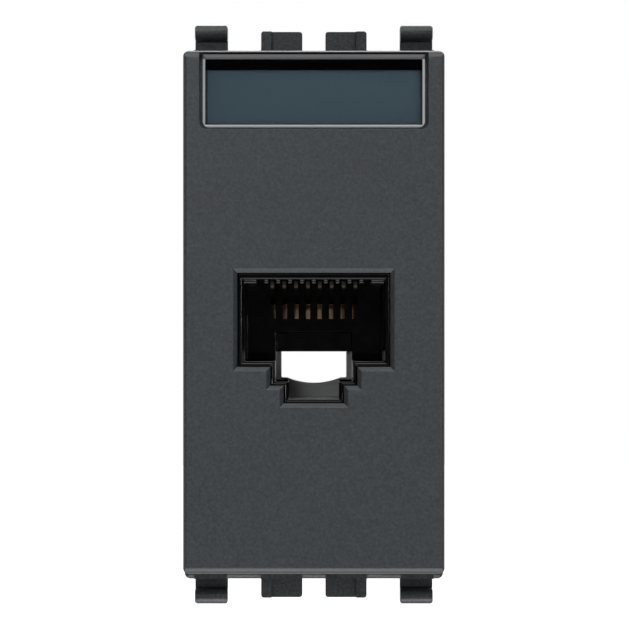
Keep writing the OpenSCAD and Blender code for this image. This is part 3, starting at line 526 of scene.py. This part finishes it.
# %% Copy a solid with rounded edges
def softened(node, piece, radius, segments=2, crease=radians(32), cuts=()):
    """Copy of a solid with merged corners, a small round along each sharp edge and its own corner normals. Cuts
    divide the faces at levels, so that two finishes can meet there."""
    solid = bmesh.new()
    solid.from_mesh(frame["nodes"][node].data)
    bmesh.ops.remove_doubles(solid, verts=solid.verts, dist=0.001 * MM)
    work, count = rounded(solid, radius, segments, crease)
    for level in cuts:
        bmesh.ops.bisect_plane(work, geom=[*work.verts, *work.edges, *work.faces], dist=1e-7,
                               plane_co=(0, 0, level), plane_no=(0, 0, 1))
    for face in work.faces:
        face.smooth = True
    mesh = bpy.data.meshes.new(piece)
    work.normal_update()
    work.to_mesh(mesh)
    mesh.normals_split_custom_set(corner_normals(work, radians(50)))
    mesh.materials.append(finishes[slot_of[node]])
    made = bpy.data.objects.new(piece, mesh)
    bpy.context.scene.collection.objects.link(made)
    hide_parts(node)
    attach(made, body_of[node])
    print(f"{piece}: {len(mesh.polygons)} faces, {count} edges rounded")
    work.free()
    solid.free()
    return made


softened("front_cover", "face_moulding", 0.05 * MM)
softened("body_frame", "tab_carrier", 0.08 * MM)
softened("rear_cover", "rear_plate", 0.1 * MM)
jack = softened("jack_housing", "jack_shell", 0.09 * MM)
softened("label_card", "paper_card", 0.03 * MM)
softened("idc_block", "terminal_block", 0.1 * MM)
softened("left_wire_cap", "left_cap", 0.12 * MM)
softened("right_wire_cap", "right_cap", 0.12 * MM)
for number in range(1, 9):
    softened(f"idc_blade_{number}", f"blade_{number}", 0.04 * MM)

# %% [markdown]
# ### The ledges beside the latch
#
# Seen from this flat an angle, glossy plastic mirrors the white paper, and the two small ledges beside the
# latch would shine as white bars. In the photograph they are dark. So their upper faces take a matt black,
# which is painted shade in place of that reflection.

# %% The ledges beside the latch
LEDGE_Z, LEDGE_BAND = -5.8 * MM, 0.1 * MM
# Painted shade: the ledges' upper faces take the matt black finish.
jack.data.materials.append(slot_black)
for face in jack.data.polygons:
    face.material_index = int(face.normal.z > 0.6 and abs(face.center.z - LEDGE_Z) < LEDGE_BAND)
print("matt ledge faces:", sum(face.material_index for face in jack.data.polygons))

# %% [markdown]
# ### The window's faces
#
# The window's top edge is a bar painted grey: painted light, for the light that the clear acrylic pipes into
# it. Its bevel takes a near-white finish, a painted highlight in place of a bright line. The skirt behind the
# bevel stands on the pocket's floor beside the card, and its end face is painted the card's colour, a
# painted reflection of the card. The strip between the card and the bar looks into a slot, which is black in
# the photograph, so the inner face there is painted shade, a black finish. The faces are sorted by their
# place and direction, and each kind takes its own finish.

# %% The window with its bar, bevel and skirt
TOP_BAR_H = 0.42 * MM
BEVEL_DEPTH = 0.4 * MM
FACES_REAR = 0.9
lens_low, lens_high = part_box("label_window")
bar_z = lens_high.z - TOP_BAR_H
card_top_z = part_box("label_card")[1].z
window = softened("label_window", "clear_window", 0.03 * MM, cuts=(bar_z, card_top_z))
CLEAR, BAR, BEVEL, SKIRT_END, OVER_SLOT = range(5)
for extra in (painted_light_bar, painted_bevel_highlight, finishes["card"], slot_black):
    window.data.materials.append(extra)
# Painted light and shade by face kind: grey bar, bevel highlight, card-coloured skirt end, black over the slot.
for face in window.data.polygons:
    if face.center.z > bar_z:
        face.material_index = BAR
    elif -0.95 < face.normal.y < -0.25 and face.center.y < lens_low.y + BEVEL_DEPTH:
        face.material_index = BEVEL
    elif face.normal.y > FACES_REAR and face.center.z > card_top_z:
        face.material_index = OVER_SLOT
    elif face.normal.y > FACES_REAR and face.center.y > lens_high.y - 0.1 * MM:
        face.material_index = SKIRT_END
kinds = [face.material_index for face in window.data.polygons]
print("window faces: clear, bar, bevel, skirt end, over the slot", [kinds.count(kind) for kind in range(5)])

# %% [markdown]
# ### Pieces that need no rounding
#
# The carrier is hidden inside the body, and the board is a flat plate between other pieces. Both keep the
# solid's own shape and only take a finish.

# %% Nodes that keep their solid shape
for node in ("contact_carrier", "pcb"):
    part = frame["nodes"][node]
    part.data.materials.clear()
    part.data.materials.append(finishes[slot_of[node]])
print("carrier and board dressed")


# %% [markdown]
# ## The eight contacts
#
# A contact is a gold-plated spring strip: it leaves the carrier, turns round a small bend at the mouth
# and slopes back down to a foot. Its edges are rounded by the drawing die, and each carries a thin line
# of light. The strip is a rounded profile carried along the path that the solids follow. In the photograph
# the feet look golden and the rest dark, so the foot is gold here and the rest a dark metal. The dark metal
# is painted shade: a strip that is gold all along looks dark where it mirrors the dark jack. That is a
# guess: a strip that is gold all along could look so too, where it mirrors the dark jack.

# %% A profile carried along a path
def strip_surface(path, profile):
    """Points of a closed strip. At each path point the profile is laid across: its first number goes along X, and
    its second along the path's side direction, which is the path's direction turned by a quarter turn."""
    ahead = np.gradient(path, axis=0)
    ahead /= np.linalg.norm(ahead, axis=1, keepdims=True)
    side = np.stack([-ahead[:, 1], ahead[:, 0]], axis=1)
    ring = path[:, None, :] + profile[None, :, 1:2] * side[:, None, :]
    across = np.broadcast_to(profile[None, :, 0:1], ring.shape[:2] + (1,))
    return np.concatenate([across, ring], axis=2)


def strip_faces(rings, around):
    """Quads between neighbouring rings, and one closing face at each end."""
    row, col = np.meshgrid(np.arange(rings - 1), np.arange(around), indexing="ij")
    here, beside = row * around + col, row * around + (col + 1) % around
    quads = np.stack([here, here + around, beside + around, beside], axis=-1).reshape(-1, 4)
    ends = [list(range(around)), list(range((rings - 1) * around, rings * around))[::-1]]
    return quads.tolist() + ends


def rounded_profile(width, thickness, radius, steps=5):
    """Rectangle with round corners: each corner is a quarter circle of that radius about its own centre."""
    turn = np.linspace(0, pi / 2, steps)
    quarter = np.stack([np.cos(turn), np.sin(turn)], axis=1) * radius
    corners = []
    for sx, sy, swap in ((1, 1, False), (-1, 1, True), (-1, -1, False), (1, -1, True)):
        arc = quarter[::-1] if swap else quarter
        corners.append(arc * [sx, sy] + [sx * (width / 2 - radius), sy * (thickness / 2 - radius)])
    return np.concatenate(corners)


print("profile points:", len(rounded_profile(0.4 * MM, 0.3 * MM, 0.08 * MM)))


# %% [markdown]
# ### The path of a contact
#
# The path lies in one plane, so it is worked out as pairs of y and z. Each bend is an arc that starts and
# ends in the direction of the straight runs beside it. Every other contact leaves the board a step higher,
# and a smooth S brings it down to the row.

# %% Bend the contacts
BEND_R = 0.4 * MM
STRIP_T = 0.3 * MM
LEG_TILT, FOOT_TILT = radians(15), radians(38)
LEG_RUN, FOOT_RUN = 5.15 * MM, 2.03 * MM
GOLD_RISE = 1.4 * MM
KNEE_R = 0.6 * MM
JOG_BACK, JOG_RUN = 3.15 * MM, 2.1 * MM
run_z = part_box("contact_1")[1].z - STRIP_T / 2
knee_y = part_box("contact_1")[0].y + STRIP_T / 2 + LEG_RUN * np.cos(LEG_TILT)
carrier_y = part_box("contact_carrier")[0].y


def arc_points(centre, radius, start, stop, count):
    """Points of an arc: the centre plus the radius times (cosine, sine) of evenly spaced angles."""
    angle = np.linspace(start, stop, count)
    return centre + radius * np.stack([np.cos(angle), np.sin(angle)], axis=1)


def contact_path(low, high):
    """Path (y, z) from the board forwards, over the jog of the upper row, round the bend and down to the foot."""
    bend = np.array([low.y + STRIP_T / 2 + BEND_R, run_z - BEND_R])
    tail_z = high.z - STRIP_T / 2
    jog = []
    if tail_z > run_z + 0.1 * MM:
        rise = np.linspace(1, 0, 12)
        blend = rise * rise * (3 - 2 * rise)
        jog_y = carrier_y + JOG_BACK - (1 - rise) * JOG_RUN
        jog = [np.stack([jog_y, run_z + blend * (tail_z - run_z)], axis=1)]
    turned = pi / 2 + pi - LEG_TILT
    leg = bend + BEND_R * np.array([np.cos(turned), np.sin(turned)])
    down = np.array([np.cos(LEG_TILT), -np.sin(LEG_TILT)])
    foot_way = np.array([np.cos(FOOT_TILT), -np.sin(FOOT_TILT)])
    knee = leg + LEG_RUN * down
    trim = KNEE_R * np.tan((FOOT_TILT - LEG_TILT) / 2)
    knee_centre = knee - trim * down - KNEE_R * np.array([np.sin(LEG_TILT), np.cos(LEG_TILT)])
    knee_arc = arc_points(knee_centre, KNEE_R, pi / 2 - LEG_TILT, pi / 2 - FOOT_TILT, 7)
    return np.concatenate([
        [[high.y, tail_z]], *jog, arc_points(bend, BEND_R, pi / 2, turned, 20), knee_arc,
        [knee + FOOT_RUN * foot_way]])


for number in range(1, 9):
    low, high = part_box(f"contact_{number}")
    profile = rounded_profile(high.x - low.x, STRIP_T, 0.07 * MM)
    path = contact_path(low, high)
    points = strip_surface(path, profile) + [(low.x + high.x) / 2, 0, 0]
    mesh = bpy.data.meshes.new(f"spring_contact_{number}")
    mesh.from_pydata(points.reshape(-1, 3).tolist(), [], strip_faces(len(path), len(profile)))
    mesh.shade_smooth()
    mesh.materials.append(finishes["contact_painted_shade"])
    mesh.materials.append(finishes["contact_gold"])
    # Painted shade: all but the foot takes the dark metal.
    for face in mesh.polygons:
        face.material_index = int(face.center.y > knee_y and face.center.z < low.z + GOLD_RISE)
    spring = bpy.data.objects.new(f"spring_contact_{number}", mesh)
    bpy.context.scene.collection.objects.link(spring)
    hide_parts(f"contact_{number}")
    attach(spring, body_of[f"contact_{number}"])
print("eight contacts of", len(mesh.polygons), "faces each")
